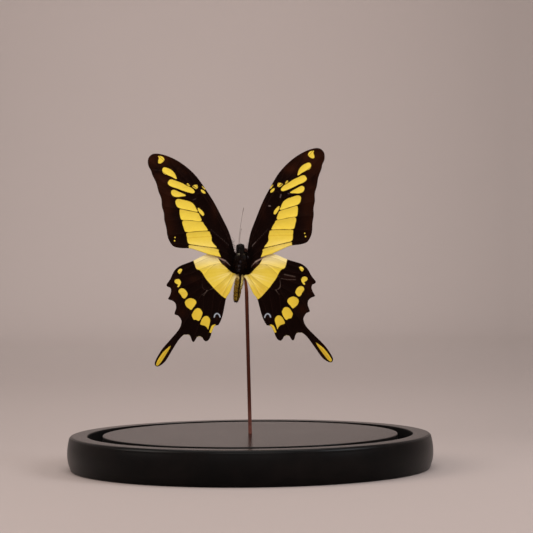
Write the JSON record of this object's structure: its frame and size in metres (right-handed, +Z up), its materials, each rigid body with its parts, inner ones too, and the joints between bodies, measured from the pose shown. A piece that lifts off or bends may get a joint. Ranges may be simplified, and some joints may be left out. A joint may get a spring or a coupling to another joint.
{
  "type": "mounted butterfly specimen on round base",
  "caption": "Swallowtail butterfly with spread wings, held head up on a thin rod in the middle of a round dark turned-wood base with a ring groove for a glass dome.",
  "frame": {"origin": "centre of the base's underside, on the surface that it stands on", "axes": "+Z up along the base's own axis; -Y towards the viewer, the side that the butterfly's back faces; +X to the viewer's right"},
  "size_m": [0.181, 0.181, 0.1577],
  "materials": {
    "turned_wood": "black stain under satin varnish",
    "wire": "browned, half matte",
    "body_hair": "fine black hair over skin",
    "abdomen_skin": "dried skin with yellow and black scales",
    "wing_scales": "thin membrane with rows of powdery scales, black-brown with yellow bands",
    "dark_horn": "dry horn, half matte"
  },
  "bodies": {
    "root": {"base": "turned_wood", "rod": "wire", "thorax": "body_hair", "head": "body_hair", "abdomen": "abdomen_skin", "forewing_left": "wing_scales", "forewing_right": "wing_scales", "hindwing_left": "wing_scales", "hindwing_right": "wing_scales", "antenna_left": "dark_horn", "antenna_right": "dark_horn", "proboscis": "dark_horn", "foreleg_left": "dark_horn", "foreleg_right": "dark_horn", "midleg_left": "dark_horn", "midleg_right": "dark_horn", "hindleg_left": "dark_horn", "hindleg_right": "dark_horn"}
  },
  "joints": []
}
